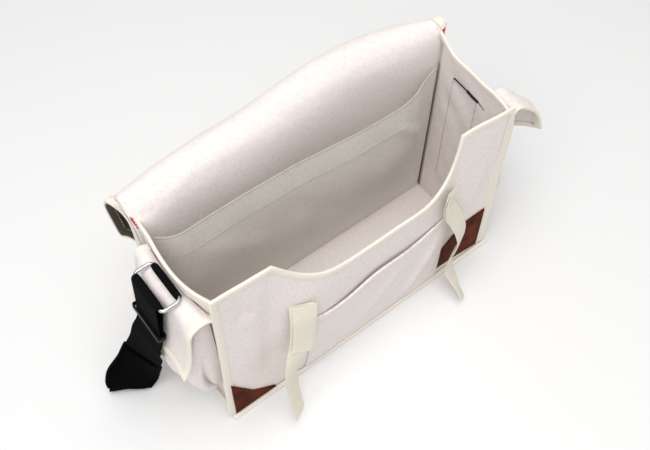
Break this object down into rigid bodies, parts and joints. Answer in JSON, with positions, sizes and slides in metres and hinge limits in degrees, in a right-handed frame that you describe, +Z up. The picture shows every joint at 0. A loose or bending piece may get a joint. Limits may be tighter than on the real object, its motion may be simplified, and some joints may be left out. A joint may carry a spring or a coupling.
{
  "type": "messenger tool bag",
  "caption": "Open canvas messenger tool bag: scooped front, flap thrown back, inner divider, end pockets, closing straps, leather corners and a padded black shoulder strap on wire rings.",
  "frame": {"origin": "centre of the base's flat underside, on the surface that the bag stands on", "axes": "+Z up, +X along the bag towards the right end as seen from its front, the front faces -Y"},
  "size_m": [0.6031, 0.2766, 0.2897],
  "materials": {
    "canvas": "off-white cotton canvas, slightly pinkish, matt",
    "tape": "cream cotton binding tape",
    "lining": "cool grey canvas, matt",
    "leather": "brown leather with fine grain",
    "ecru_webbing": "ecru cotton webbing",
    "black_webbing": "black ribbed webbing",
    "black_pad": "black woven cover with piped edges",
    "steel": "bright nickelled wire",
    "black_metal": "black painted plate, satin"
  },
  "bodies": {
    "root": {"base_panel": "canvas", "base_binding": "tape", "front_panel": "canvas", "front_binding": "tape", "back_flap_panel": "canvas", "flap_binding": "tape", "divider_panel": "lining", "front_pocket_panel": "canvas", "left_corner_patch": "leather", "right_corner_patch": "leather", "left_closing_strap": "ecru_webbing", "right_closing_strap": "ecru_webbing", "left_end_panel": "canvas", "left_top_binding": "tape", "left_pocket": "canvas", "left_pocket_flap": "canvas", "left_pocket_flap_binding": "tape", "left_anchor": "black_webbing", "left_ring": "steel", "right_end_panel": "canvas", "right_top_binding": "tape", "right_pocket": "canvas", "right_pocket_flap": "canvas", "right_pocket_flap_binding": "tape", "right_anchor": "black_webbing", "right_ring": "steel", "shoulder_strap": "black_webbing", "shoulder_pad": "black_pad", "strap_keeper": "black_metal"}
  },
  "joints": []
}
